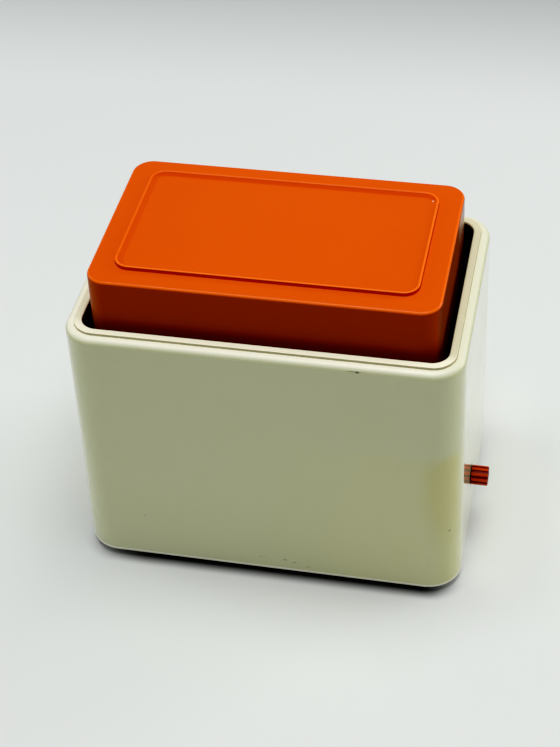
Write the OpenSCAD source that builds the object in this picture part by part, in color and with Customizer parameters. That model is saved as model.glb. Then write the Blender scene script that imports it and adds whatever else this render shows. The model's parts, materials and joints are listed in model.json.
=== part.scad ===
// Table-top ticket validator, pressed by hand.
// A ticket goes into the slot in the rear wall and lies on a steel table over four type wheels
// and an ink ribbon. Pushing the orange head down brings a rubber platen onto the ticket, punches
// a hole near its edge and, on the way back up, winds the ribbon on by one step.
// Origin: centre of the footprint, on the surface the machine stands on. +Z up, +Y towards the
// ticket slot, +X towards the side knob. Millimetres.

/* [Casing] */
// Width of the casing at its top edge
casing_w = 132; // [131:0.5:134]
// Depth of the casing at its top edge
casing_d = 86.6; // [86.4:0.1:87.2]
// Height of the casing's top edge above the table
casing_h = 100; // [99.6:0.1:100.4]
// Gap between the casing's lower edge and the table
casing_z0 = 2.6; // [2:0.1:3]
// Wall thickness of the casing
wall = 3; // [2.6:0.1:3]
// Radius of the casing's upright corners
corner_r = 10.8; // [10.6:0.1:11.2]
// Mould draft: outward step of each wall for one millimetre down
draft = 0.0126; // [0.0122:0.0002:0.013]

/* [Press head] */
// Width of the push head at its top
head_w = 115.2; // [113:0.1:115.4]
// Depth of the push head at its top
head_d = 69.4; // [68:0.1:69.6]
// Height of the push head's top face above the table
head_z = 117.7; // [117:0.1:118.4]
// Radius of the head's upright corners
head_r = 6.8; // [6.6:0.1:7]
// Height of the raised panel on the head
panel_h = 1.5; // [1.2:0.1:1.8]
// Depth of the shallow dish inside the panel's bead
dish = 0.8; // [0.5:0.1:1]
// Travel of the press head
stroke = 12; // [11:0.5:12]

/* [Rim ring] */
// Height of the inner ring above the casing's edge
ring_up = 0.9; // [0.6:0.1:1]
// Distance from the casing's outer face to the edge of the opening
ring_in = 5.5; // [5.5:0.05:5.6]
// Thickness of the ring's lip at the opening
ring_lip = 0.8; // [0.6:0.1:1]

/* [Side knob] */
// Diameter of the side knob
knob_d = 7; // [6.4:0.1:7.2]
// Length of knob that stands out of the wall
knob_out = 6.1; // [4.1:0.5:7.1]
// Height of the knob's axis
knob_z = 24.7; // [24.7:0.1:24.7]
// Position of the knob's axis along the depth
knob_y = -8.5; // [-8.5:0.1:-8.5]
// Number of grip flutes
knob_flutes = 10; // [8:1:14]

/* [Guide posts and springs] */
// Half the distance between the guide posts across the width
post_x = 45; // [45:0.5:45]
// Half the distance between the guide posts across the depth
post_y = 22; // [21.5:0.5:22]
// Radius of a guide post
post_r = 3; // [2.8:0.1:3]
// Turns in a return spring
spring_turns = 6; // [5:1:7]
// Wire radius of a return spring
wire_r = 0.5; // [0.4:0.05:0.5]

/* [Ticket path] */
// Width of the ticket channel
ticket_w = 60.6; // [56:0.1:60.6]
// Clear height of the ticket channel
ticket_h = 5; // [4.6:0.1:5]

/* [Gears] */
// Gear module
gear_m = 1; // [1:1:1]
// Teeth of the idler pinion
idler_t = 12; // [12:1:12]
// Teeth of the ribbon feed gear
feed_t = 15; // [15:1:15]

/* [Mounting] */
// Spacing of the threaded inserts across the width
insert_sx = 76; // [70:1:80]
// Spacing of the threaded inserts across the depth
insert_sy = 28; // [24:1:30]
// Hole radius of a threaded insert, M4
insert_r = 1.65; // [1.6:0.05:1.7]

/* [Hidden] */
$fn = 48;
e = 0.01;

cream = [0.86, 0.84, 0.72];
orange = [0.90, 0.33, 0.04];
black = [0.07, 0.07, 0.07];
steel = [0.72, 0.73, 0.74];
brass = [0.80, 0.66, 0.35];
rubber = [0.12, 0.12, 0.12];

top_z = casing_h + ring_up;          // top of the rim ring
plate_top = 4.5;                     // top of the base plate, where the chassis stands
floor_top = 6;                       // top of the chassis floor
table_z0 = 39.5;                     // underside of the ticket table
table_z1 = 41;                       // top of the ticket table
guide_z = table_z1 + ticket_h;       // underside of the top guide
car_z0 = 84.5;                       // underside of the press carriage
car_z1 = 86.5;                       // top of the press carriage
head_draft = 0.0105;                 // outward step of the head's walls for one millimetre down
head_z0 = 80;                        // lower edge of the head's skirt
head_wall = 2.4;
head_fillet = 1.3;
boss_x = 58.7; boss_y = 36.2;        // casing bosses for the base screws
hboss_x = 30; hboss_y = 22;          // bosses inside the head
wheel_r = 15.5;                      // outer radius of the type wheels
plate_lx = -20; plate_rx = 37.5;     // inner print unit side plates
plate_t = 1.5;
sup_y = -30; sup_z = 16.5;           // ribbon supply spool axis
tak_y = 11.5;  tak_z = 16.5;         // ribbon take-up spool axis
idl_y = 11.5;  idl_z = tak_z + gear_m * (idler_t + feed_t) / 2;
pin_z = 36.5; pin_ya = -21.3; pin_yb = 4.3;
mouth_y = casing_d / 2 + draft * 65 + 0.18;   // back of the ticket slot's flange
punch_x = -27; punch_y = 8;
print_x = 2.6;                       // middle of the printed line
pawl_y = 0.4; pawl_z = -7.25;        // pawl pivot, from the take-up axis
pa = 25;                             // pressure angle of the gears

corners = [[-1, -1], [1, -1], [1, 1], [-1, 1]];

// Rounded rectangle with true arcs
module rrect(w, d, r) {
  union() {
    square([w - 2 * r, d], center = true);
    square([w, d - 2 * r], center = true);
    for (c = corners) translate([c[0] * (w / 2 - r), c[1] * (d / 2 - r)]) circle(r);
  }
}
module ring(w, d, r, t, h) {
  linear_extrude(h) difference() { rrect(w, d, r); rrect(w - 2 * t, d - 2 * t, max(r - t, 0.5)); }
}
// One thin slice of a drafted body, for hull()
module slice(w, d, r, z) {
  for (c = corners) translate([c[0] * (w / 2 - r), c[1] * (d / 2 - r), z]) cylinder(r = r, h = e, $fn = 64);
}
// Shapes along X: the profile is drawn as [y, z]
module along_x(x0, len) { translate([x0, 0, 0]) rotate([90, 0, 90]) linear_extrude(len) children(); }
module rod_x(x0, x1, y, z, r) { translate([x0, y, z]) rotate([0, 90, 0]) cylinder(r = r, h = x1 - x0); }
module tube_x(x0, x1, y, z, ro, ri) {
  difference() { rod_x(x0, x1, y, z, ro); rod_x(x0 - 1, x1 + 1, y, z, ri); }
}
module tube_z(x, y, z0, z1, ro, ri) {
  translate([x, y, z0]) difference() {
    cylinder(r = ro, h = z1 - z0);
    translate([0, 0, -1]) cylinder(r = ri, h = z1 - z0 + 2);
  }
}
module at_posts() { for (c = corners) translate([c[0] * post_x, c[1] * post_y, 0]) children(); }

// Pan-head screw, head below z = 0 and shank above it
module screw_up(head_r_, head_h, shank_r, len) {
  union() { translate([0, 0, -head_h]) cylinder(r = head_r_, h = head_h); cylinder(r = shank_r, h = len); }
}
module cross_slot(r, depth) {
  for (a = [0, 90]) rotate([0, 0, a]) translate([-r, -0.35, 0]) cube([2 * r, 0.7, depth]);
}

// ---------- outer shell ----------
module casing_body(z0, z1, inset, fil_top, fil_bot) {
  // walls step outward going down
  function gw(z) = casing_w - 2 * inset + 2 * draft * (casing_h - z);
  function gd(z) = casing_d - 2 * inset + 2 * draft * (casing_h - z);
  function gr(z) = corner_r - inset + draft * (casing_h - z);
  hull() {
    slice(gw(z0) - 2 * fil_bot, gd(z0) - 2 * fil_bot, gr(z0) - fil_bot, z0);
    slice(gw(z0), gd(z0), gr(z0), z0 + max(fil_bot, e));
    for (a = [0, 30, 60, 90]) let (i = fil_top * (1 - cos(a)), z = z1 - fil_top + fil_top * sin(a) - e)
      slice(gw(z1) - 2 * i, gd(z1) - 2 * i, gr(z1) - i, z);
  }
}
module casing() color(cream) {
  difference() {
    union() {
      difference() {
        casing_body(casing_z0, casing_h, 0, 2, 0.6);
        casing_body(casing_z0 - 2, casing_h + 2, wall, 0.02, 0.02);
      }
      // ledge that carries the guide sleeve
      translate([0, 0, 91.6]) linear_extrude(2.8) difference() {
        rrect(casing_w - 2, casing_d - 2, corner_r - 1);
        rrect(casing_w - 2 * wall - 2.4, casing_d - 2 * wall - 2.4, corner_r - wall - 1.2);
      }
      for (c = corners) translate([c[0] * boss_x, c[1] * boss_y, plate_top]) cylinder(r = 4.4, h = 45.5);
    }
    for (c = corners) translate([c[0] * boss_x, c[1] * boss_y, plate_top - 1]) cylinder(r = 1.25, h = 17);
    rod_x(55, 75, knob_y, knob_z, knob_d / 2 + 0.4);
    translate([-34, 33, 37.5]) cube([68, 14, 12]);
  }
}
module rim_ring() color(cream) difference() {
  translate([0, 0, top_z - 3]) linear_extrude(3) difference() {
    rrect(casing_w - 2 * wall - 0.4, casing_d - 2 * wall - 0.4, corner_r - wall - 0.2);
    rrect(casing_w - 2 * ring_in, casing_d - 2 * ring_in, 5.8);
  }
  // rebate for the sleeve's upstand, which leaves a thin lip on show
  translate([0, 0, top_z - 4]) linear_extrude(4 - ring_lip) rrect(casing_w - 8.8, casing_d - 8.8, 6.4);
}
module guide_sleeve() color(black) {
  in_w = casing_w - 10.8; in_d = casing_d - 10.8; // inside of the sleeve, 5.4 in from the casing's face
  union() {
    translate([0, 0, 94.4]) linear_extrude(top_z - 3 - 94.4) difference() {
      rrect(casing_w - 2 * wall - 0.4, casing_d - 2 * wall - 0.4, corner_r - wall - 0.2);
      rrect(in_w, in_d, 5.9);
    }
    translate([0, 0, 78]) linear_extrude(16.5) difference() {
      rrect(casing_w - 8.6, casing_d - 8.6, corner_r - 4.3);
      rrect(in_w, in_d, 5.9);
    }
    // upstand inside the rim ring
    translate([0, 0, top_z - 3.1]) linear_extrude(3 - ring_lip) difference() {
      rrect(casing_w - 9.2, casing_d - 9.2, 6.2);
      rrect(in_w, in_d, 5.9);
    }
    // lip that guides the head
    translate([0, 0, 84]) linear_extrude(2) difference() {
      rrect(casing_w - 10, casing_d - 10, corner_r - 5);
      rrect(head_w + 1.5, head_d + 1.5, 7.6);
    }
  }
}
module base_plate() color(black) {
  difference() {
    translate([0, 0, 1]) linear_extrude(plate_top - 1) rrect(127.6, 82.2, 8.6);
    translate([0, 0, 0]) ring(108, 60, 8, 8, 2);
    for (c = corners) translate([c[0] * boss_x, c[1] * boss_y, 0]) { cylinder(r = 1.7, h = 6); cylinder(r = 3.3, h = 3); }
    for (c = corners) translate([c[0] * insert_sx / 2, c[1] * insert_sy / 2, 0]) cylinder(r = 3, h = 6);
    for (x = [-49, 49], y = [-8, 8]) translate([x, y, 2.2]) cylinder(r = 1.5, h = 4);
  }
}
module base_mat() color(rubber) ring(108, 60, 8, 8, 2);
module base_screws() color(steel) for (c = corners) translate([c[0] * boss_x, c[1] * boss_y, 3])
  difference() {
    union() { screw_up(3, 1.7, 1.6, plate_top - 3); cylinder(r = 1.25, h = 12); }
    translate([0, 0, -1.8]) cross_slot(1.7, 0.9);
  }
module mounting_inserts() color(brass) for (c = corners)
  tube_z(c[0] * insert_sx / 2, c[1] * insert_sy / 2, 1, plate_top, 3, insert_r);

// ---------- chassis ----------
module side_plate(x, y0, y1) translate([x, 0, 0]) along_x(0, plate_t)
  polygon([[y0, plate_top], [y1, plate_top], [y1, table_z0], [y0 + 8, table_z0], [y0, table_z0 - 8]]);
module chassis_frame() color(steel) {
  difference() {
    union() {
      translate([-53, -34.5, plate_top]) cube([106, 66.5, floor_top - plate_top]);
      side_plate(plate_lx, -34.5, 19);
      side_plate(plate_rx, -34.5, 19);
      translate([plate_lx - 19.5, -30, table_z0 - plate_t]) cube([20, 27, plate_t]);
      translate([plate_rx + 1, -14, table_z0 - plate_t]) cube([8, 28, plate_t]);
    }
    at_posts() translate([0, 0, 4]) cylinder(r = 2, h = 3);
    for (x = [-49, 49], y = [-8, 8]) translate([x, y, 4]) cylinder(r = 1.5, h = 3);
    rod_x(-25, 45, sup_y, sup_z, 2);
    rod_x(-25, 45, tak_y, tak_z, 2);
    rod_x(30, 45, idl_y, idl_z, 2);
    rod_x(-25, 45, knob_y, knob_z, 4);
    for (y = [pin_ya, pin_yb]) rod_x(-25, 45, y, pin_z, 1.5);
    for (p = [[-36, -26], [-36, -12], [42.5, -9], [42.5, 9]]) translate([p[0], p[1], 36]) cylinder(r = 1.5, h = 4);
  }
}
module chassis_screws() color(steel) for (x = [-49, 49], y = [-8, 8]) translate([x, y, floor_top])
  difference() {
    mirror([0, 0, 1]) screw_up(2.75, 2, 1.5, 3.8);
    translate([0, 0, 1.1]) cross_slot(1.6, 1);
  }
module post_spacers() color(steel) at_posts() tube_z(0, 0, floor_top, table_z0, 5, post_r + 0.05);
module guide_posts() color([0.8, 0.81, 0.83]) at_posts() union() {
  translate([0, 0, plate_top]) cylinder(r = 2, h = 2);
  translate([0, 0, floor_top]) cylinder(r = post_r, h = 89);
  translate([0, 0, 95]) cylinder(r1 = post_r, r2 = post_r - 1, h = 1);
}
module post_clips() color(steel) at_posts() tube_z(0, 0, 90.3, 91.5, 5, post_r);
module stroke_stops() color([0.85, 0.85, 0.8]) at_posts() tube_z(0, 0, table_z1, 75 - stroke - 0.3, 4.8, post_r + 0.05);

// Helical wire as one swept tube
function helix_pt(t, z0, z1, r) = [r * cos(360 * spring_turns * t), r * sin(360 * spring_turns * t), z0 + (z1 - z0) * t];
module helix(z0, z1, r, wr, steps, sides) {
  n = steps;
  slope = atan((z1 - z0) / (2 * PI * r * spring_turns));
  pts = [for (i = [0:n]) let (t = i / n, a = 360 * spring_turns * t, c = helix_pt(t, z0, z1, r))
    for (j = [0:sides - 1]) let (b = 360 * j / sides, u = wr * cos(b), v = wr * sin(b))
      [c[0] + u * cos(a) + v * sin(a) * sin(slope), c[1] + u * sin(a) - v * cos(a) * sin(slope), c[2] + v * cos(slope)]];
  faces = concat(
    [[for (j = [0:sides - 1]) j]],
    [[for (j = [sides - 1:-1:0]) n * sides + j]],
    [for (i = [0:n - 1], j = [0:sides - 1]) let (k = (j + 1) % sides) each [
      [i * sides + j, (i + 1) * sides + j, (i + 1) * sides + k],
      [i * sides + j, (i + 1) * sides + k, i * sides + k]]]);
  polyhedron(points = pts, faces = faces, convexity = 10);
}
module return_springs() color(steel) at_posts()
  helix(table_z1 + wire_r, car_z0 - 1.5 - wire_r, 6, wire_r, spring_turns * 14, 5);

module ticket_table() color(steel) {
  difference() {
    translate([0, 0, table_z0]) linear_extrude(table_z1 - table_z0) rrect(106, 64, 4);
    translate([print_x - 14.1, -19.5, 39]) cube([28.2, 22, 3]);
    translate([32.8, 15.6, 39]) cube([4.4, 7.2, 3]);
    translate([punch_x, punch_y, 39]) cylinder(r = 4, h = 3);
    at_posts() translate([0, 0, 39]) cylinder(r = post_r + 0.05, h = 3);
    for (p = [[-36, -26], [-36, -12], [42.5, -9], [42.5, 9]]) translate([p[0], p[1], 39]) cylinder(r = 1.5, h = 3);
    for (x = [-31.4, 31.4], y = [-26, 27]) translate([x, y, 39]) cylinder(r = 0.8, h = 3);
  }
}
module table_screws() color(steel) for (p = [[-36, -26], [-36, -12], [42.5, -9], [42.5, 9]])
  translate([p[0], p[1], table_z1]) difference() {
    mirror([0, 0, 1]) screw_up(2.75, 2, 1.5, 3);
    translate([0, 0, 1.1]) cross_slot(1.6, 1);
  }
module ticket_rails() color(steel) difference() {
  for (s = [-1, 1]) translate([s * (ticket_w / 2 + 1.1) - 1.1, -30, table_z1]) cube([2.2, 61, ticket_h]);
  for (x = [-31.4, 31.4], y = [-26, 27]) translate([x, y, 40]) cylinder(r = 0.8, h = 8);
}
module ticket_stop() color(steel) translate([-22, -31.5, table_z1]) cube([44, 1.5, ticket_h]);
module top_guide() color(steel) difference() {
  translate([-32.5, -31.5, guide_z]) cube([65, 62.5, 1.2]);
  translate([print_x - 16.1, -17, guide_z - 1]) cube([32.2, 17, 4]);
  translate([punch_x, punch_y, guide_z - 1]) cylinder(r = 2.2, h = 4);
  for (x = [-31.4, 31.4], y = [-26, 27]) translate([x, y, guide_z - 1]) cylinder(r = 0.8, h = 4);
}
module guide_screws() color(steel) for (x = [-31.4, 31.4], y = [-26, 27]) translate([x, y, guide_z + 1.2])
  difference() {
    mirror([0, 0, 1]) screw_up(1.7, 1, 0.8, guide_z + 1.2 - table_z0);
    translate([-2, -0.25, 0.5]) cube([4, 0.5, 1]);
  }
module slot_mouth() color(black) difference() {
  union() {
    translate([-33.5, 33.2, 38]) cube([67, mouth_y - 33, 11]);
    translate([0, mouth_y + 1.2, 43.5]) rotate([90, 0, 0]) linear_extrude(1.2) rrect(73, 16, 3);
  }
  translate([-30.5, 30, table_z1]) cube([61, 20, ticket_h]);
  // flared entry
  along_x(-30.5, 61) polygon([[mouth_y - 1.4, table_z1 + 0.5], [mouth_y + 1.6, table_z1 - 1.5], [mouth_y + 1.6, guide_z + 1.5], [mouth_y - 1.4, guide_z - 0.5]]);
}
module die_bush() color([0.55, 0.56, 0.58]) tube_z(punch_x, punch_y, 35.5, table_z1, 4, 2.15);
module chip_cup() color(black) translate([-39.5, -2.3, floor_top]) difference() {
  cube([18, 18.5, 18]);
  translate([1.2, 1.2, 1.2]) cube([15.6, 16.1, 20]);
}
module spool_axles() color(steel) for (p = [[sup_y, sup_z], [tak_y, tak_z]]) rod_x(-21, 41, p[0], p[1], 2);
module gear_axle() color(steel) union() {
  rod_x(28.2, 41, idl_y, idl_z, 2);
  rod_x(28.2, 29, idl_y, idl_z, 2.8);
}
module ribbon_guide_pins() color(steel) for (y = [pin_ya, pin_yb]) rod_x(-20, 39, y, pin_z, 1.5);

// Ink ribbon: a band of even thickness along a hand-set route of [y, z] points
ribbon_route = [[-36.2, 21.2], [-22.8, 37.6], [-21.4, 38.35], [-13, 40.7], [-4, 40.7], [4.4, 38.35], [5.8, 37.6], [16.2, 19.2]];
function unit(v) = v / norm(v);
function perp(v) = [-v[1], v[0]];
function miter(p, i) = let (
    a = i == 0 ? unit(p[1] - p[0]) : unit(p[i] - p[i - 1]),
    b = i == len(p) - 1 ? a : unit(p[i + 1] - p[i]),
    m = unit(perp(a) + perp(b))) m / (m * perp(a));
module ink_ribbon() color([0.1, 0.1, 0.16]) along_x(print_x - 12.8, 25.6)
  polygon(concat(
    [for (i = [0:len(ribbon_route) - 1]) ribbon_route[i] + 0.15 * miter(ribbon_route, i)],
    [for (i = [len(ribbon_route) - 1:-1:0]) ribbon_route[i] - 0.15 * miter(ribbon_route, i)]));

wheel_x = [-10, -3.6, 2.8, 9.2];     // left faces of the year, month, day and zone wheels
module detent_spring() color([0.75, 0.72, 0.6]) union() {
  translate([-10, -2, floor_top]) cube([25.2, 7, 0.6]);
  for (x = wheel_x) along_x(x + 0.6, 4.8)
    polygon([[-1.5, 6], [-2.2, 6], [-9.9, 8.2], [-9, 8.8], [-8.1, 8.25], [-1.9, 6.6], [-1.5, 6.6]]);
}
module shaft_bushes() color([0.9, 0.89, 0.84]) for (s = [[plate_lx, -1], [plate_rx + plate_t, 1]])
  difference() {
    union() {
      rod_x(min(s[0], s[0] - s[1] * 2), max(s[0], s[0] - s[1] * 2), knob_y, knob_z, 4);
      rod_x(min(s[0], s[0] + s[1] * 0.8), max(s[0], s[0] + s[1] * 0.8), knob_y, knob_z, 5.2);
    }
    rod_x(s[0] - 5, s[0] + 5, knob_y, knob_z, 2.05);
  }

// ---------- knob, shaft and type wheels ----------
wall_x = casing_w / 2 + draft * (casing_h - knob_z);   // outer face of the wall at the knob
module side_knob() color(orange) difference() {
  union() {
    rod_x(60.4, 63, knob_y, knob_z, 5);
    rod_x(62.9, wall_x - 0.5, knob_y, knob_z, knob_d / 2);
    rod_x(wall_x - 0.6, wall_x + 0.3, knob_y, knob_z, knob_d / 2 - 0.45);   // narrow neck at the wall
    rod_x(wall_x + 0.2, wall_x + knob_out, knob_y, knob_z, knob_d / 2);
  }
  rod_x(59, 66, knob_y, knob_z, 2);
  for (i = [0:knob_flutes - 1]) let (a = 360 * i / knob_flutes + 6)
    rod_x(63.5, 80, knob_y + (knob_d / 2 + 0.25) * cos(a), knob_z + (knob_d / 2 + 0.25) * sin(a), 0.6);
}
module type_shaft() color(steel) rod_x(-23, 66, knob_y, knob_z, 2);
module shaft_sleeves() color([0.9, 0.89, 0.84]) {
  tube_x(-17.8, -10.3, knob_y, knob_z, 3.2, 2);
  tube_x(15.2, 36.7, knob_y, knob_z, 3.2, 2);
}
module shaft_clip() color(steel) tube_x(-21.9, -21, knob_y, knob_z, 3.6, 2);

// Wheel outline with n flat type lands, drawn in the plane across its axis
function lands(n, ri, ro, share) = [for (i = [0:n - 1]) let (c = 90 + 360 * i / n, h = 180 / n * share)
  each [
    [ri * cos(c - h - 0.6), ri * sin(c - h - 0.6)], [ro * cos(c - h), ro * sin(c - h)],
    [ro * cos(c + h), ro * sin(c + h)], [ri * cos(c + h + 0.6), ri * sin(c + h + 0.6)]]];
module type_wheel(x, n, share, bore) difference() {
  translate([0, knob_y, knob_z]) union() {
    along_x(x, 6) polygon(lands(n, wheel_r - 1.3, wheel_r, share));
  }
  rod_x(x - 1, x + 7, knob_y, knob_z, bore);
  // recessed web
  difference() {
    rod_x(x - 1, x + 1.2, knob_y, knob_z, 10.4);
    rod_x(x - 2, x + 2, knob_y, knob_z, 4.2);
  }
}
module year_wheel() color([0.25, 0.25, 0.27]) type_wheel(wheel_x[0], 10, 0.6, 2.05);
module month_wheel() color([0.25, 0.25, 0.27]) type_wheel(wheel_x[1], 12, 0.6, 2.05);
module day_wheel() color([0.25, 0.25, 0.27]) type_wheel(wheel_x[2], 31, 0.55, 2.05);
module zone_wheel() color([0.45, 0.12, 0.08]) type_wheel(wheel_x[3], 12, 0.6, 2);

// ---------- ribbon drive ----------
module spool(y, z, x0, x1) difference() {
  union() {
    rod_x(x0, x1, y, z, 4);
    rod_x(print_x - 14.5, print_x - 13.3, y, z, 9);
    rod_x(print_x + 13.3, print_x + 14.5, y, z, 9);
  }
  rod_x(x0 - 1, x1 + 1, y, z, 2.05);
}
module supply_spool() color(black) spool(sup_y, sup_z, plate_lx + plate_t + 0.3, plate_rx - 0.3);
module supply_coil() color([0.1, 0.1, 0.16]) tube_x(print_x - 13, print_x + 13, sup_y, sup_z, 7, 4);
module takeup_spool() color(black) union() {
  spool(tak_y, tak_z, plate_lx + plate_t + 0.3, 28.4);
  // ratchet for the feed pawl
  translate([0, tak_y, tak_z]) difference() {
    along_x(26.4, 2) polygon([for (i = [0:15]) each [
      [6.4 * cos(i * 22.5), 6.4 * sin(i * 22.5)], [5.2 * cos(i * 22.5 + 3), 5.2 * sin(i * 22.5 + 3)]]]);
    rod_x(26, 29, 0, 0, 3.9);
  }
}
module takeup_coil() color([0.1, 0.1, 0.16]) tube_x(print_x - 13, print_x + 13, tak_y, tak_z, 5, 4);

// Involute gear outline: m module, t teeth, thin = tooth thinning at the pitch circle
function inv(a) = tan(a) - a * PI / 180;
function flank(rb, r, half) = let (a = acos(min(1, rb / r))) [r, half - inv(a) * 180 / PI];
function gear_points(m, t, thin, rot) = let (
    rp = m * t / 2, rb = rp * cos(pa), ra = rp + 0.9 * m, rf = rp - 1.15 * m,
    half = 90 / t - thin / (2 * rp) * 180 / PI + inv(pa) * 180 / PI,
    rs = max(rb, rf + 0.01),
    fl = [for (k = [0:5]) flank(rb, rs + (ra - rs) * k / 5, half)])
  [for (i = [0:t - 1]) let (c = rot + 360 * i / t) each concat(
    [[rf * cos(c - fl[0][1] - 1), rf * sin(c - fl[0][1] - 1)]],
    [for (k = [0:5]) [fl[k][0] * cos(c - fl[k][1]), fl[k][0] * sin(c - fl[k][1])]],
    [for (k = [5:-1:0]) [fl[k][0] * cos(c + fl[k][1]), fl[k][0] * sin(c + fl[k][1])]],
    [[rf * cos(c + fl[0][1] + 1), rf * sin(c + fl[0][1] + 1)]])];
module idler_gear() color([0.93, 0.92, 0.88]) difference() {
  translate([0, idl_y, idl_z]) along_x(29.3, 7.8) polygon(gear_points(gear_m, idler_t, 0.14, 0));
  rod_x(28, 38, idl_y, idl_z, 2.05);
}
module feed_gear() color([0.93, 0.92, 0.88]) difference() {
  union() {
    translate([0, tak_y, tak_z]) along_x(29, 3.4) polygon(gear_points(gear_m, feed_t, 0.14, 90 + 180 / feed_t));
    rod_x(28.7, 29, tak_y, tak_z, 8.2);
    rod_x(32.3, 37.1, tak_y, tak_z, 3.6);
    rod_x(26.5, 28.8, tak_y + pawl_y, tak_z + pawl_z, 0.9);
  }
  rod_x(26, 38, tak_y, tak_z, 2.05);
}
module feed_pawl() color(steel) difference() {
  union() {
    along_x(26.6, 1.7) polygon([[tak_y + 0.4, tak_z - 8.75], [tak_y + 2.4, tak_z - 8.6], [tak_y + 5.6, tak_z - 6.9],
      [tak_y + 6.2, tak_z - 4.9], [tak_y + 5.5, tak_z - 4.4], [tak_y + 4.2, tak_z - 5.8], [tak_y + 2.2, tak_z - 6.8],
      [tak_y + 0.4, tak_z - 7]]);
    difference() {
      rod_x(26.6, 28.3, tak_y + pawl_y, tak_z + pawl_z, 1.5);
      rod_x(26, 29, tak_y, tak_z, 6.75);
    }
  }
  rod_x(26, 29, tak_y + pawl_y, tak_z + pawl_z, 0.95);
}

// ---------- press ----------
module head_body(z0, z1, inset, fil) {
  function gw(z) = head_w - 2 * inset + 2 * head_draft * (head_z - z);
  function gd(z) = head_d - 2 * inset + 2 * head_draft * (head_z - z);
  hull() {
    slice(gw(z0), gd(z0), head_r - inset + 0.4, z0);
    for (a = [0, 30, 60, 90]) let (i = fil * (1 - cos(a)), z = z1 - fil + fil * sin(a) - e)
      slice(gw(z1) - 2 * i, gd(z1) - 2 * i, head_r - inset - i, z);
  }
}
module press_head() color(orange) difference() {
  union() {
    difference() {
      head_body(head_z0, head_z, 0, head_fillet);
      head_body(head_z0 - 2, head_z - head_wall, head_wall, 0.5);
    }
    translate([0, 0, head_z - 0.5]) linear_extrude(panel_h + 0.5) rrect(head_w - 15.5, head_d - 14.5, 5.4);
    for (c = corners) translate([c[0] * hboss_x, c[1] * hboss_y, car_z1]) cylinder(r = 4, h = head_z - head_wall - car_z1 + 0.5);
  }
  translate([0, 0, head_z + panel_h - dish]) linear_extrude(2) rrect(head_w - 17.5, head_d - 16.5, 4.4);
  for (c = corners) translate([c[0] * hboss_x, c[1] * hboss_y, car_z1 - 1]) cylinder(r = 1.25, h = 19);
}
module press_carriage() color(steel) difference() {
  translate([0, 0, car_z0]) linear_extrude(car_z1 - car_z0) rrect(106, 60, 5);
  at_posts() translate([0, 0, 84]) cylinder(r = 5, h = 4);
  for (c = corners) translate([c[0] * hboss_x, c[1] * hboss_y, 84]) cylinder(r = 1.5, h = 4);
  for (x = [-15.5, 20.7]) translate([x, knob_y, 84]) cylinder(r = 1.5, h = 4);
}
module carriage_screws() color(steel) for (c = corners) translate([c[0] * hboss_x, c[1] * hboss_y, car_z0])
  difference() {
    union() { screw_up(2.9, 2, 1.5, 2); cylinder(r = 1.25, h = 13); }
    translate([0, 0, -2.1]) cross_slot(1.7, 1);
  }
module guide_bushes() color(brass) at_posts() difference() {
  union() {
    translate([0, 0, 75]) cylinder(r = 5, h = 15);
    translate([0, 0, car_z0 - 1.5]) cylinder(r = 7, h = 1.5);
  }
  translate([0, 0, 70]) cylinder(r = post_r + 0.05, h = 25);
}
module platen_bracket() color(steel) difference() {
  translate([0, -15, 0]) mirror([0, 1, 0]) rotate([90, 0, 0]) linear_extrude(13) union() {
    translate([-12, 56.1]) square([29.2, 2]);
    for (x = [-12, 15.7]) translate([x, 56.1]) square([1.5, 28.4]);
    translate([-19.5, 83]) square([9, 1.5]);
    translate([15.7, 83]) square([9, 1.5]);
  }
  for (x = [-15.5, 20.7]) translate([x, knob_y, 80]) cylinder(r = 1.5, h = 8);
}
module bracket_screws() color(steel) for (x = [-15.5, 20.7]) translate([x, knob_y, 83]) difference() {
  screw_up(2.75, 2, 1.5, 3.5);
  translate([0, 0, -2.1]) cross_slot(1.6, 1);
}
module platen_pad() color(rubber) translate([-11.5, -14, 53.1]) cube([28.2, 11, 3]);
module notch_punch() color([0.6, 0.61, 0.63]) translate([punch_x, punch_y, 0]) union() {
  translate([0, 0, 60]) cylinder(r = 4, h = car_z0 - 60);
  translate([0, 0, 50.5]) cylinder(r = 2, h = 10);
}
rack_y = idl_y + gear_m * idler_t / 2;
rack_p = PI * gear_m;
module feed_rack() color([0.93, 0.92, 0.88]) along_x(33.3, 3.4) polygon(concat(
  [[rack_y + 4.5, 84.5], [rack_y + 1.15, 84.5]],
  [for (i = [5:-1:-1]) let (c = idl_z + (i + 0.5) * rack_p, hp = rack_p / 4 - 0.07) each [
    [rack_y + 1.15, c + hp + 1.15 * tan(pa)], [rack_y - 0.9, c + hp - 0.9 * tan(pa)],
    [rack_y - 0.9, c - hp + 0.9 * tan(pa)], [rack_y + 1.15, c - hp - 1.15 * tan(pa)]]],
  [[rack_y + 1.15, 25.2], [rack_y + 4.5, 25.2]]));

casing();
rim_ring();
guide_sleeve();
base_plate();
base_mat();
base_screws();
mounting_inserts();
chassis_frame();
chassis_screws();
post_spacers();
guide_posts();
post_clips();
stroke_stops();
return_springs();
ticket_table();
table_screws();
ticket_rails();
ticket_stop();
top_guide();
guide_screws();
slot_mouth();
die_bush();
chip_cup();
spool_axles();
gear_axle();
ribbon_guide_pins();
ink_ribbon();
detent_spring();
shaft_bushes();
side_knob();
type_shaft();
zone_wheel();
shaft_sleeves();
shaft_clip();
day_wheel();
month_wheel();
year_wheel();
supply_spool();
supply_coil();
takeup_spool();
takeup_coil();
idler_gear();
feed_gear();
feed_pawl();
press_head();
press_carriage();
carriage_screws();
guide_bushes();
platen_bracket();
platen_pad();
bracket_screws();
notch_punch();
feed_rack();
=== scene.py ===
"""Looks for the hand-pressed ticket validator. Metres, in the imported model's frame."""
import json
import math

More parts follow.
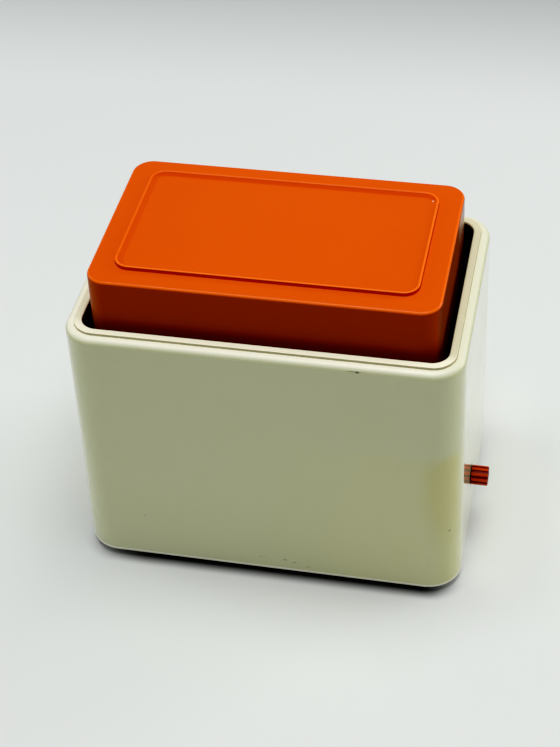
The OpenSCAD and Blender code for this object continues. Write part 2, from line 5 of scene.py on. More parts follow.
import bmesh
import bpy
import numpy as np
from mathutils import Matrix, Vector


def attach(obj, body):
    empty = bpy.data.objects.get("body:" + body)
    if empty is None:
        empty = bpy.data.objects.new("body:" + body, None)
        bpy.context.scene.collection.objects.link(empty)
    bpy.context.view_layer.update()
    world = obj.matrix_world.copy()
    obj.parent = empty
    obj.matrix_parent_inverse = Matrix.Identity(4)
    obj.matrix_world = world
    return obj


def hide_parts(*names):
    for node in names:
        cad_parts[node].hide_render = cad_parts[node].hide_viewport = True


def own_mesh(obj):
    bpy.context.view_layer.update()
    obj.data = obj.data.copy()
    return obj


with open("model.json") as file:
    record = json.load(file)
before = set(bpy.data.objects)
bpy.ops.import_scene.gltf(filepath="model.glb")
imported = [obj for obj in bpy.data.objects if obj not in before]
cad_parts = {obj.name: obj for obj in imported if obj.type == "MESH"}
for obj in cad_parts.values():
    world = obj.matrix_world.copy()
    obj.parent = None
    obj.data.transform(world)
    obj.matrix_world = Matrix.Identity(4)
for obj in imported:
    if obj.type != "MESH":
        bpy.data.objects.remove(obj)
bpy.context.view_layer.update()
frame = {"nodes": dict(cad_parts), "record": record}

MM = 0.001
scene = bpy.context.scene
root = bpy.context.scene.collection

# ---------------------------------------------------------------- camera
cam_data = bpy.data.cameras.new("camera")
cam = bpy.data.objects.new("camera", cam_data)
root.objects.link(cam)
cam_data.lens = 82.67
cam_data.sensor_width = 36.0
cam_data.sensor_fit = "AUTO"
cam_data.clip_start, cam_data.clip_end = 0.02, 30.0
right = Vector((0.97922054, 0.19886637, -0.0397404))
down = Vector((0.10259569, -0.65481702, -0.74879155))
forward = Vector((-0.17493215, 0.72915488, -0.66161311))
cam.matrix_world = Matrix((
    (right.x, -down.x, -forward.x, 0.10331),
    (right.y, -down.y, -forward.y, -0.44179),
    (right.z, -down.z, -forward.z, 0.45626),
    (0, 0, 0, 1)))
scene.camera = cam

# ---------------------------------------------------------------- mesh helpers


def rrect(w, d, r, n=14, side=8):
    """Points round a rounded rectangle, counter-clockwise, always 4 * (n + side) of them. Millimetres."""
    out = []
    cx, cy = w / 2 - r, d / 2 - r
    signs = ((1, 1), (-1, 1), (-1, -1), (1, -1))
    for k, (sx, sy) in enumerate(signs):
        a0 = 90 * k
        arc = [(sx * cx + r * math.cos(math.radians(a0 + 90 * i / n)),
                sy * cy + r * math.sin(math.radians(a0 + 90 * i / n))) for i in range(n + 1)]
        out += arc
        nx, ny = signs[(k + 1) % 4]
        a1 = math.radians(90 * (k + 1))
        start, end = arc[-1], (nx * cx + r * math.cos(a1), ny * cy + r * math.sin(a1))
        for i in range(1, side):
            t = i / side
            out.append((start[0] + (end[0] - start[0]) * t, start[1] + (end[1] - start[1]) * t))
    return out


def new_object(name, verts, faces, smooth_angle=32.0, weighted=True):
    """A mesh object from millimetre points, smooth apart from edges sharper than smooth_angle."""
    me = bpy.data.meshes.new(name)
    me.from_pydata([(x * MM, y * MM, z * MM) for x, y, z in verts], [], faces)
    me.validate()
    bm = bmesh.new()
    bm.from_mesh(me)
    bmesh.ops.recalc_face_normals(bm, faces=bm.faces)
    bm.to_mesh(me)
    bm.free()
    ob = bpy.data.objects.new(name, me)
    root.objects.link(ob)
    finish_shading(ob, smooth_angle, weighted)
    return ob


def finish_shading(ob, smooth_angle=32.0, weighted=True):
    me = ob.data
    me.polygons.foreach_set("use_smooth", [True] * len(me.polygons))
    me.set_sharp_from_angle(angle=math.radians(smooth_angle))
    if weighted:
        m = ob.modifiers.new("weighted normals", "WEIGHTED_NORMAL")
        m.keep_sharp = True
        m.weight = 60


def loft(rings, closed=False, cap_start=False, cap_end=False):
    """Verts and faces of a skin through rings of equal length. closed joins the last ring to the first."""
    n = len(rings[0])
    verts = [p for ring in rings for p in ring]
    faces = []
    last = len(rings) if closed else len(rings) - 1
    for i in range(last):
        a, b = i * n, ((i + 1) % len(rings)) * n
        for j in range(n):
            k = (j + 1) % n
            faces.append((a + j, a + k, b + k, b + j))
    if cap_start:
        faces.append(tuple(range(n)))
    if cap_end:
        faces.append(tuple((len(rings) - 1) * n + j for j in range(n)))
    return verts, faces


def join(*parts):
    """Several (verts, faces) as one."""
    verts, faces = [], []
    for v, f in parts:
        o = len(verts)
        verts += v
        faces += [tuple(i + o for i in face) for face in f]
    return verts, faces


def tube(x, y, z0, z1, ro, ri, n=48, chamfer=0.0):
    """A closed tube along Z, or a closed rod if ri is 0."""
    def circle(r, z):
        return [(x + r * math.cos(2 * math.pi * i / n), y + r * math.sin(2 * math.pi * i / n), z) for i in range(n)]
    rings = [circle(ro - chamfer, z0), circle(ro, z0 + chamfer), circle(ro, z1 - chamfer), circle(ro - chamfer, z1)] if chamfer else [circle(ro, z0), circle(ro, z1)]
    if ri > 0:
        return loft(rings + [circle(ri, z1), circle(ri, z0)], closed=True)
    return loft(rings, cap_start=True, cap_end=True)


def boolean(ob, other, operation):
    """Applies an exact boolean with another object, which is then removed."""
    m = ob.modifiers.new("cut", "BOOLEAN")
    m.operation, m.object, m.solver = operation, other, "EXACT"
    bpy.context.view_layer.update()
    # only this modifier counts
    shown = [(x, x.show_viewport) for x in ob.modifiers if x.name != m.name]
    for x, _ in shown:
        x.show_viewport = False
    dg = bpy.context.evaluated_depsgraph_get()
    dg.update()
    me = bpy.data.meshes.new_from_object(ob.evaluated_get(dg), preserve_all_data_layers=True, depsgraph=dg)
    ob.modifiers.remove(m)
    for x, s in shown:
        x.show_viewport = s
    old = ob.data
    ob.data = me
    bpy.data.meshes.remove(old)
    bpy.data.objects.remove(other)
    bm = bmesh.new()
    bm.from_mesh(me)
    bmesh.ops.remove_doubles(bm, verts=bm.verts, dist=2e-6)
    bmesh.ops.dissolve_degenerate(bm, dist=1e-6, edges=bm.edges)
    bm.to_mesh(me)
    bm.free()
    me.update()
    return ob


def arc(r, a0, a1, n):
    return [(r * math.cos(math.radians(a0 + (a1 - a0) * i / n)), r * math.sin(math.radians(a0 + (a1 - a0) * i / n))) for i in range(n + 1)]


# ---------------------------------------------------------------- materials


class Nodes:
    """A node tree with a few shorthands."""

    def __init__(self, name):
        self.mat = bpy.data.materials.new(name)
        self.mat.use_nodes = True
        self.nt = self.mat.node_tree
        self.bsdf = next(n for n in self.nt.nodes if n.type == "BSDF_PRINCIPLED")
        self.coord = self.nt.nodes.new("ShaderNodeTexCoord").outputs["Object"]
        self.dull = None

    def node(self, kind, **inputs):
        n = self.nt.nodes.new(kind)
        for k, v in inputs.items():
            if k.startswith("_"):
                setattr(n, k[1:], v)
                continue
            s = n.inputs[int(k[1:])] if k[0] == "i" and k[1:].isdigit() else n.inputs[k.replace("_", " ")]
            if isinstance(v, bpy.types.NodeSocket):
                self.nt.links.new(v, s)
            else:
                s.default_value = v
        return n

    def scaled(self, sx, sy, sz, rot=(0, 0, 0)):
        return self.node("ShaderNodeMapping", Vector=self.coord, Scale=(sx, sy, sz), Rotation=rot).outputs[0]

    def noise(self, scale, detail=3.0, rough=0.5, vector=None, distortion=0.0):
        return self.node("ShaderNodeTexNoise", Vector=vector or self.coord, Scale=scale, Detail=detail,
                         Roughness=rough, Distortion=distortion).outputs["Fac"]

    def ramp(self, value, lo, hi, a=0.0, b=1.0, smooth=True):
        n = self.node("ShaderNodeMapRange", _clamp=True, _interpolation_type="SMOOTHSTEP" if smooth else "LINEAR",
                      i0=value, i1=lo, i2=hi, i3=a, i4=b)
        return n.outputs[0]

    def math(self, op, a, b=0.0, c=0.0):
        return self.node("ShaderNodeMath", _operation=op, i0=a, i1=b, i2=c).outputs[0]

    def mix(self, fac, a, b, blend="MIX"):
        n = self.nt.nodes.new("ShaderNodeMix")
        n.data_type, n.blend_type = "RGBA", blend
        for i, v in ((0, fac), (6, a), (7, b)):
            if isinstance(v, bpy.types.NodeSocket):
                self.nt.links.new(v, n.inputs[i])
            else:
                n.inputs[i].default_value = v if i == 0 else (*v[:3], 1.0)
        return n.outputs[2]

    def near(self, point, radii, soft=0.6, wobble=0.0, wobble_scale=200.0):
        """1 inside an ellipsoid round a millimetre point, 0 outside it."""
        p = self.node("ShaderNodeVectorMath", _operation="SUBTRACT", i0=self.coord, i1=tuple(c * MM for c in point)).outputs[0]
        p = self.node("ShaderNodeVectorMath", _operation="MULTIPLY", i0=p, i1=tuple(1 / (c * MM) for c in radii)).outputs[0]
        d = self.node("ShaderNodeVectorMath", _operation="LENGTH", i0=p).outputs["Value"]
        if wobble:
            d = self.math("ADD", d, self.math("MULTIPLY", self.math("SUBTRACT", self.noise(wobble_scale, 3.0, 0.6), 0.5), wobble))
        return self.ramp(d, 1.0 + soft * 0.5, 1.0 - soft * 0.5)

    def xyz(self):
        return self.node("ShaderNodeSeparateXYZ", Vector=self.coord).outputs

    def bump(self, height, strength, distance, normal=None):
        n = self.node("ShaderNodeBump", Height=height, Strength=strength, Distance=distance)
        if normal is not None:
            self.nt.links.new(normal, n.inputs["Normal"])
        return n.outputs[0]

    def set(self, **inputs):
        for k, v in inputs.items():
            s = self.bsdf.inputs[k.replace("_", " ")]
            if isinstance(v, bpy.types.NodeSocket):
                self.nt.links.new(v, s)
            else:
                s.default_value = (*v, 1.0) if isinstance(v, tuple) and len(v) == 3 and s.type == "RGBA" else v
        return self


def moulded(name, base, deep, worn, rough, spec=0.5, coat=0.0, grain=0.35, marks=(), extra=None, coat_rough=0.12):
    """Satin injection-moulded plastic: slow tint drift, faint mottling, dust specks, fine grain, uneven gloss."""
    m = Nodes(name)
    drift = m.noise(14.0, 2.0, 0.5)
    mottle = m.noise(420.0, 4.0, 0.6)
    col = m.mix(m.ramp(drift, 0.35, 0.68), base, deep)
    col = m.mix(m.math("MULTIPLY", m.ramp(mottle, 0.42, 0.72), 0.22), col, worn)
    specks = m.ramp(m.noise(2600.0, 1.0, 0.4), 0.765, 0.80)
    col = m.mix(m.math("MULTIPLY", specks, 0.35), col, tuple(c * 0.55 for c in deep))
    if extra:
        col = extra(m, col)
    for point, radii, colour, amount in marks:
        col = m.mix(m.math("MULTIPLY", m.near(point, radii, 0.7, 0.7, 900.0), amount), col, colour)
    gloss = m.ramp(m.noise(55.0, 3.0, 0.55), 0.3, 0.7, rough - 0.035, rough + 0.045, smooth=False)
    if m.dull is not None:
        gloss = m.math("ADD", gloss, m.dull)
    height = m.math("ADD", m.noise(1500.0, 3.0, 0.55), m.math("MULTIPLY", m.noise(70.0, 2.0, 0.4), 1.5))
    if not m.bsdf.inputs["Specular IOR Level"].is_linked:
        m.set(Specular_IOR_Level=spec)
    if not m.bsdf.inputs["Coat Weight"].is_linked:
        m.set(Coat_Weight=coat)
    m.set(Base_Color=col, Roughness=gloss, Coat_Roughness=coat_rough,
          Normal=m.bump(height, grain, 0.00004))
    return m.mat


def metal(name, base, dark, rough, brushed=(1.0, 1.0, 1.0), oil=0.0):
    """Bare or plated metal: brushed streaks, handling marks, uneven polish."""
    m = Nodes(name)
    streak = m.noise(900.0, 3.0, 0.6, m.scaled(*brushed))
    cloud = m.noise(60.0, 3.0, 0.6)
    col = m.mix(m.ramp(cloud, 0.35, 0.7), base, dark)
    col = m.mix(m.math("MULTIPLY", m.ramp(streak, 0.4, 0.7), 0.3), col, tuple(c * 0.7 for c in base))
    if oil:
        col = m.mix(m.math("MULTIPLY", m.ramp(m.noise(35.0, 4.0, 0.7), 0.52, 0.62), oil), col, (0.05, 0.04, 0.02))
    gloss = m.math("ADD", m.ramp(streak, 0.3, 0.7, rough - 0.06, rough + 0.08, smooth=False),
                   m.ramp(cloud, 0.3, 0.7, 0.0, 0.08, smooth=False))
    m.set(Base_Color=col, Roughness=gloss, Metallic=1.0, Normal=m.bump(streak, 0.25, 0.00003))
    return m.mat


def rubber(name, base, rough=0.75):
    m = Nodes(name)
    dust = m.ramp(m.noise(90.0, 5.0, 0.65), 0.5, 0.72)
    col = m.mix(dust, base, tuple(c * 1.9 + 0.02 for c in base))
    m.set(Base_Color=col, Roughness=m.ramp(m.noise(220.0, 3.0), 0.3, 0.7, rough - 0.08, rough + 0.1, smooth=False),
          Specular_IOR_Level=0.3, Normal=m.bump(m.noise(1800.0, 3.0, 0.6), 0.5, 0.00006))
    return m.mat


def woven(name, base, ink):
    """Inked woven ribbon: two crossed sets of threads."""
    m = Nodes(name)
    a = m.node("ShaderNodeTexWave", Vector=m.coord, Scale=900.0, Distortion=0.4, _bands_direction="X").outputs["Fac"]
    b = m.node("ShaderNodeTexWave", Vector=m.coord, Scale=900.0, Distortion=0.4, _bands_direction="DIAGONAL").outputs["Fac"]
    thread = m.math("MAXIMUM", a, b)
    col = m.mix(thread, base, ink)
    col = m.mix(m.ramp(m.noise(80.0, 3.0, 0.6), 0.4, 0.7), col, tuple(c * 0.5 for c in base))
    m.set(Base_Color=col, Roughness=m.ramp(thread, 0.0, 1.0, 0.6, 0.85, smooth=False), Specular_IOR_Level=0.35,
          Normal=m.bump(thread, 0.4, 0.00006))
    return m.mat


CREAM, CREAM_DEEP, CREAM_WORN = (0.612, 0.627, 0.368), (0.598, 0.613, 0.350), (0.628, 0.640, 0.386)


def casing_stains_and_painted_light(m, col):
    """Yellowing low on the right of the front wall, carried round the rounded front-right corner. Painted light: tops
    lighter than walls, a little less so at the right end; painted shade on that corner; a painted highlight along the
    bottom lip. Walls and tops also differ in tone and gloss, which is tuned to the photographed light, so part of its
    shade is painted in."""
    n = m.node("ShaderNodeNewGeometry").outputs["Normal"]
    nz = m.node("ShaderNodeSeparateXYZ", Vector=n).outputs["Z"]
    # painted light: the tops lighter than the walls, a little less so at the right end
    col = m.mix(m.ramp(nz, 0.95, 0.30), m.mix(0.92, col, m.mix(m.ramp(m.xyz()["X"], 0.053, 0.063), (0.93, 0.92, 0.77), (0.83, 0.83, 0.655))), col)
    m.set(Coat_Weight=m.ramp(nz, 0.03, 0.30, 0.9, 0.12))
    m.dull = m.ramp(nz, 0.05, 0.40, 0.0, 0.26)
    at = m.xyz()
    drift = m.math("MULTIPLY", m.math("SUBTRACT", m.noise(45.0, 3.0, 0.6), 0.5), 0.006)
    below = m.ramp(m.math("ADD", at["Z"], drift), 0.0665, 0.0605)
    wide = m.math("MULTIPLY", m.math("MULTIPLY", below, m.ramp(at["X"], -0.020, 0.050)), m.ramp(at["Y"], -0.020, -0.034))
    col = m.mix(m.math("MULTIPLY", wide, 0.38), col, (0.645, 0.622, 0.275))
    patch = m.math("MULTIPLY", m.near((64.0, -41.0, 47.5), (9.5, 10.0, 22.0), 0.9, 0.35, 60.0), below)
    nx = m.node("ShaderNodeSeparateXYZ", Vector=n).outputs["X"]
    patch = m.math("MULTIPLY", patch, m.ramp(nx, 0.99, 0.80))
    col = m.mix(m.math("MULTIPLY", patch, 0.70), col, (0.590, 0.548, 0.170))
    # yellowing and painted shade on the rounded front-right corner, low down
    corner_yellowing_and_shade = m.math("MULTIPLY", m.math("MULTIPLY", m.ramp(nx, 0.20, 0.70), m.ramp(at["Y"], -0.022, -0.040)), m.ramp(at["Z"], 0.060, 0.022))
    col = m.mix(m.math("MULTIPLY", corner_yellowing_and_shade, 0.60), col, (0.570, 0.560, 0.230))
    # painted highlight: a lighter band along the bottom lip
    lip_highlight = m.ramp(at["Z"], 0.0042, 0.0037)
    return m.mix(m.math("MULTIPLY", lip_highlight, 0.9), col, (0.93, 0.90, 0.76))


def ring_sides(m, col):
    """Painted light and shade on the ring: darker at its right end, lighter along its front, and a painted shade on its
    upright outer step. A darker upright outer step and tones by side, tuned to the photographed light.
    """
    n = m.node("ShaderNodeNewGeometry").outputs["Normal"]
    nz = m.node("ShaderNodeSeparateXYZ", Vector=n).outputs["Z"]
    col = m.mix(m.ramp(m.xyz()["X"], 0.0520, 0.0600), col, (0.740, 0.700, 0.480))
    col = m.mix(m.ramp(m.xyz()["Y"], -0.0320, -0.0375), col, (0.960, 0.945, 0.745))
    return m.mix(m.math("MULTIPLY", m.ramp(nz, 0.80, 0.35), 0.85), col, (0.45, 0.38, 0.16))


def head_walls(m, col):
    """Colour by the way a surface faces. The dark, red walls and the lighter edges and bead are mostly the
    photographed light and shade, painted in, because the lamps alone don't give them."""
    n = m.node("ShaderNodeNewGeometry").outputs["Normal"]
    nz = m.node("ShaderNodeSeparateXYZ", Vector=n).outputs["Z"]
    z = m.xyz()["Z"]
    parts = m.node("ShaderNodeSeparateXYZ", Vector=n).outputs
    at = m.xyz()
    # painted shade: the upright walls darker and redder, the right wall darkest, the left a little lighter
    wall = m.mix(m.ramp(parts["X"], 0.80, 0.97), (0.330, 0.036, 0.0010), (0.135, 0.028, 0.0030))
    wall = m.mix(m.math("MULTIPLY", m.ramp(parts["X"], -0.10, -0.75), 0.75), wall, (0.430, 0.085, 0.0030))
    col = m.mix(m.math("MULTIPLY", m.ramp(nz, 0.70, 0.15), 0.9), col, wall)
    # painted highlight on the rounded top edges and the bead's crest, stronger at the right and front
    edge = m.math("MULTIPLY", m.ramp(nz, 0.42, 0.72), m.ramp(nz, 0.985, 0.90))
    edge = m.math("MULTIPLY", edge, m.ramp(z, 0.1178, 0.1177))
    bead = m.math("MULTIPLY", m.ramp(z, 0.11902, 0.11914), m.ramp(nz, 0.30, 0.60))
    near_side = m.math("MAXIMUM", m.ramp(at["X"], 0.040, 0.047), m.ramp(at["Y"], -0.020, -0.025))
    bead = m.math("MULTIPLY", bead, m.math("MULTIPLY_ADD", near_side, 0.45, 0.50))
    light = m.math("MAXIMUM", m.math("MULTIPLY", edge, 0.75), bead)
    col = m.mix(light, col, (0.95, 0.175, 0.012))
    # painted shade on the far inner slope of the dish and on the foot of the raised panel
    slope = m.math("MULTIPLY", m.ramp(parts["Y"], -0.05, -0.20), m.math("MULTIPLY", m.ramp(z, 0.11832, 0.11850), m.ramp(z, 0.11912, 0.11900)))
    slope = m.math("MULTIPLY", slope, m.ramp(at["Y"], 0.010, 0.020))
    left = m.math("MULTIPLY", m.ramp(parts["X"], 0.05, 0.20), m.math("MULTIPLY", m.ramp(z, 0.11832, 0.11850), m.ramp(z, 0.11912, 0.11900)))
    left = m.math("MULTIPLY", left, m.ramp(at["X"], -0.040, -0.045))
    col = m.mix(m.math("MAXIMUM", m.math("MULTIPLY", slope, 0.65), m.math("MULTIPLY", left, 0.45)), col, (0.600, 0.050, 0.0010))
    foot = m.math("MULTIPLY", m.ramp(z, 0.11775, 0.11800), m.ramp(z, 0.11890, 0.11860))
    foot = m.math("MULTIPLY", foot, m.ramp(nz, 0.90, 0.60))
    col = m.mix(m.math("MULTIPLY", foot, 0.85), col, (0.720, 0.026, 0.0010))
    # gloss is held down except at the far end of the right wall, to place the photographed highlight
    dull = m.math("MULTIPLY", m.ramp(parts["X"], 0.90, 0.99), m.ramp(at["Y"], 0.027, 0.013))
    dull = m.math("MAXIMUM", dull, slope)
    far = m.math("MULTIPLY", m.math("MULTIPLY", m.ramp(parts["X"], 0.60, 0.90), m.ramp(nz, 0.5, 0.2)), m.ramp(at["Y"], 0.012, 0.027))
    m.set(Specular_IOR_Level=m.math("ADD", m.math("MULTIPLY", m.ramp(nz, 0.30, 0.75, 0.015, 0.13), m.math("SUBTRACT", 1.0, dull)),
                                    m.math("MULTIPLY", far, 0.45)))
    return col


def knob_ribs(m, col):
    """Painted shade: dark in the grooves between the ribs and near black at the neck; the crests keep the plain colour.
    """
    at = m.xyz()
    y = m.math("SUBTRACT", at["Y"], -0.0085)
    z = m.math("SUBTRACT", at["Z"], 0.0247)
    r = m.math("SQRT", m.math("ADD", m.math("MULTIPLY", y, y), m.math("MULTIPLY", z, z)))
    groove = m.ramp(r, 0.00344, 0.00312)
    col = m.mix(groove, col, (0.190, 0.0080, 0.0030))
    # painted shade: near black at the neck and inside the wall
    return m.mix(m.ramp(at["X"], 0.06722, 0.06708), col, (0.010, 0.002, 0.001))


NICK = (0.055, 0.050, 0.030)
mats = {
    "cream_plastic": moulded("cream_plastic", CREAM, CREAM_DEEP, CREAM_WORN, 0.19, 0.5, coat=0.9, coat_rough=0.11, grain=0.06, extra=casing_stains_and_painted_light, marks=(
        ((32.6, -43.2, 98.4), (0.60, 0.9, 0.34), NICK, 1.0), ((31.6, -43.2, 98.5), (2.7, 0.9, 0.15), (0.20, 0.18, 0.10), 0.7),
        ((-2.6, -44.4, 8.1), (0.7, 0.8, 0.35), (0.42, 0.41, 0.22), 0.5), ((-1.2, -44.4, 8.5), (0.4, 0.8, 0.30), (0.42, 0.41, 0.22), 0.5),
        ((6.2, -44.4, 8.0), (0.75, 0.8, 0.32), (0.28, 0.26, 0.14), 0.75), ((9.6, -44.5, 7.2), (0.8, 0.8, 0.36), (0.34, 0.32, 0.18), 0.65),
        ((14.5, -44.5, 5.8), (0.9, 0.8, 0.30), (0.36, 0.34, 0.20), 0.6), ((56.9, -44.4, 2.8), (0.55, 1.3, 0.40), NICK, 1.0),
        ((63.3, -40.9, 29.1), (0.36, 0.9, 0.36), (0.18, 0.15, 0.06), 0.9), ((-43.5, -44.2, 22.0), (0.35, 0.8, 0.35), (0.33, 0.32, 0.2), 0.6))),
    "ring_plastic": moulded("ring_plastic", (0.815, 0.790, 0.585), (0.795, 0.770, 0.560), (0.835, 0.810, 0.615), 0.24, 0.5, grain=0.08, extra=ring_sides),
    "orange_plastic": moulded("orange_plastic", (0.735, 0.102, 0.0012), (0.710, 0.095, 0.0010), (0.755, 0.110, 0.002), 0.22, 0.12, grain=0.12, extra=head_walls, marks=(
        ((47.3, 23.3, 118.6), (0.26, 0.26, 0.6), (0.95, 0.75, 0.6), 0.9), ((-38.0, -26.9, 118.6), (0.3, 0.3, 0.5), (0.95, 0.7, 0.5), 0.7),
        ((-34.5, -26.8, 118.6), (0.22, 0.25, 0.4), (0.95, 0.7, 0.5), 0.6))),
    "black_plastic": moulded("black_plastic", (0.012, 0.012, 0.012), (0.009, 0.009, 0.009), (0.022, 0.022, 0.021), 0.5, 0.35),
    "knob_plastic": moulded("knob_plastic", (0.62, 0.062, 0.008), (0.56, 0.050, 0.006), (0.68, 0.085, 0.010), 0.32, 0.10, grain=0.12, extra=knob_ribs),
    "rubber_black": rubber("rubber_black", (0.020, 0.020, 0.020)),
    "zinc_steel": metal("zinc_steel", (0.62, 0.63, 0.64), (0.50, 0.50, 0.50), 0.34, (1.0, 0.05, 1.0)),
    "ground_steel": metal("ground_steel", (0.74, 0.75, 0.77), (0.66, 0.67, 0.69), 0.16, (0.04, 1.0, 0.04), oil=0.25),
    "spring_steel": metal("spring_steel", (0.40, 0.41, 0.43), (0.30, 0.30, 0.32), 0.28, (0.3, 0.3, 0.3), oil=0.35),
    "brass": metal("brass", (0.76, 0.57, 0.25), (0.60, 0.42, 0.17), 0.28, (1.0, 1.0, 0.06), oil=0.1),
    "tool_steel": metal("tool_steel", (0.42, 0.43, 0.45), (0.30, 0.31, 0.33), 0.24, (0.06, 0.06, 1.0), oil=0.3),
    "nylon": moulded("nylon", (0.72, 0.70, 0.60), (0.66, 0.63, 0.52), (0.76, 0.74, 0.66), 0.42, 0.45),
    "type_plastic": moulded("type_plastic", (0.035, 0.034, 0.036), (0.022, 0.020, 0.030), (0.06, 0.058, 0.06), 0.45, 0.4),
    "zone_plastic": moulded("zone_plastic", (0.22, 0.030, 0.018), (0.13, 0.016, 0.014), (0.28, 0.05, 0.03), 0.42, 0.4),
    "ribbon": woven("ribbon", (0.010, 0.010, 0.022), (0.030, 0.030, 0.055)),
}


def dress(ob, name):
    ob.data.materials.clear()
    ob.data.materials.append(mats[name])


for part in frame["record"]["subparts"]:
    dress(frame["nodes"][part["node"]], part["material_slot"])
dress(frame["nodes"]["rim_ring"], "ring_plastic")

# ---------------------------------------------------------------- casing
W, D, H, Z0, WALL, R, DRAFT = 132.0, 86.6, 100.0, 2.6, 3.0, 10.8, 0.0126


def shell(inset, z, n=18, side=14):
    g = DRAFT * (H - z)
    return [(x, y, z) for x, y in rrect(W - 2 * inset + 2 * g, D - 2 * inset + 2 * g, max(R - inset + g, 0.4), n, side)]


rings = []
top_r, low_r, inner_r = 2.3, 0.7, 0.12
for z in (Z0 + low_r, 14.0, 30.0, 46.0, 62.0, 78.0, 90.0, H - top_r):
    rings.append(shell(0.0, z))
for c, s in arc(top_r, 0, 90, 9)[1:]:
    rings.append(shell(top_r - c, H - top_r + s))
for c, s in arc(inner_r, 90, 0, 4):
    rings.append(shell(WALL - inner_r + c, H - inner_r + s))
for inset, z in ((WALL, 97.0), (WALL, 94.4), (4.2, 94.4), (4.2, 91.6), (WALL, 91.6), (WALL, 60.0), (WALL, 30.0), (WALL, Z0 + 0.3), (WALL - 0.3, Z0)):
    rings.append(shell(inset, z))
for c, s in arc(low_r, 270, 360, 5)[:-1]:
    rings.append(shell(low_r - c, Z0 + low_r + s))
casing = new_object("casing_shell", *loft(rings, closed=True), weighted=False)
bosses = new_object("bosses", *join(*[tube(sx * 58.7, sy * 36.2, 4.5, 50.0, 4.4, 0) for sx, sy in ((1, 1), (-1, 1), (-1, -1), (1, -1))]), weighted=False)
boolean(casing, bosses, "UNION")
cuts = new_object("cuts", *join(
    *[tube(sx * 58.7, sy * 36.2, 3.5, 20.5, 1.25, 0, 32) for sx, sy in ((1, 1), (-1, 1), (-1, -1), (1, -1))]), weighted=False)
boolean(casing, cuts, "DIFFERENCE")
hole = []
for x, r in ((55.0, 3.9), (66.66, 3.9), (67.3, 4.15), (75.0, 4.15)):
    hole.append([(x, -8.5 + r * math.cos(2 * math.pi * i / 64), 24.7 + r * math.sin(2 * math.pi * i / 64)) for i in range(64)])
boolean(casing, new_object("hole", *loft(hole, cap_start=True, cap_end=True), weighted=False), "DIFFERENCE")
slot_cut = [[(x, y, z + 43.5) for x, z in rrect(68.0, 12.0, 1.2, 6, 2)] for y in (33.0, 47.0)]
boolean(casing, new_object("slot_cut", *loft(slot_cut, cap_start=True, cap_end=True), weighted=False), "DIFFERENCE")
finish_shading(casing, 30.0)
dress(casing, "cream_plastic")
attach(casing, "housing")
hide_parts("casing")

# the mouth of the slot keeps its own solid; its edges are only softened
mouth = frame["nodes"]["slot_mouth"]
weld = mouth.modifiers.new("weld", "WELD")
weld.merge_threshold = 0.00001
soft = mouth.modifiers.new("soft edges", "BEVEL")
soft.width, soft.segments, soft.limit_method, soft.angle_limit = 0.00035, 3, "ANGLE", math.radians(40)
soft.harden_normals = True

# ---------------------------------------------------------------- rim ring
RT = 100.9


def band(inset, z, r, n=18, side=14):
    return [(x, y, z) for x, y in rrect(W - 2 * inset, D - 2 * inset, r, n, side)]


ring_rings = []
ro_, ri_ = 0.22, 0.45
ring_rings.append(band(4.4, RT - 3.0, 6.4))
ring_rings.append(band(3.2, RT - 3.0, 7.6))
ring_rings.append(band(3.2, 98.6, 7.6))
ring_rings.append(band(3.0, 98.9, 7.8))
ring_rings.append(band(3.0, RT - ro_, 7.8))
for c, s in arc(ro_, 0, 90, 5)[1:]:
    ring_rings.append(band(3.0 + ro_ - c, RT - ro_ + s, 7.8 - ro_ + c))
for c, s in reversed(arc(ri_, 0, 90, 6)):
    ring_rings.append(band(5.5 - ri_ + c, RT - ri_ + s, 5.8 + ri_ - c))
ring_rings.append(band(5.5, RT - 0.8, 5.8))
ring_rings.append(band(4.4, RT - 0.8, 6.4))
ring = new_object("rim_ring_moulding", *loft(ring_rings, closed=True))
dress(ring, "ring_plastic")
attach(ring, "housing")
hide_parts("rim_ring")

# ---------------------------------------------------------------- press head
HW, HD, HZ, HR, HDRAFT, HZ0, HWALL = 115.2, 69.4, 117.7, 6.8, 0.0105, 80.0, 2.4
HX, HY = -0.36, 0.20        # the head stands a little to one side, as photographed, in the play of its guide


def head(inset, z, n=16, side=14, r=None, play=0.0):
    g = HDRAFT * max(HZ - z, 0) + 0.10 * play
    return [(x + HX * play, y + HY * play, z) for x, y in rrect(HW - 2 * inset + 2 * g, HD - 2 * inset + 2 * g,
                                        max(HR - inset + g, 0.3) if r is None else r, n, side)]


hr = []
fillet = 1.15
hr.append(head(0.35, HZ0))
for z, play in ((HZ0 + 0.35, 0.0), (88.0, 0.0), (92.0, 0.0), (93.5, 0.16), (95.0, 0.5), (96.5, 0.84), (98.0, 1.0), (104.0, 1.0), (112.0, 1.0),
                (HZ - fillet, 1.0)):
    hr.append(head(0.0, z, play=play))
for c, s in arc(fillet, 0, 90, 7)[1:]:
    hr.append(head(fillet - c, HZ - fillet + s, play=1.0))
hr.append(head(3.0, HZ, r=5.9, play=1.0))
PW, PD, PR, PH = HW - 15.5, HD - 14.5, 5.4, 1.5    # the raised panel: outline, corner radius, height


def field(inset, up, r):
    return [(x + HX, y + HY, HZ + up) for x, y in rrect(PW - 2 * inset, PD - 2 * inset, r, 16, 14)]


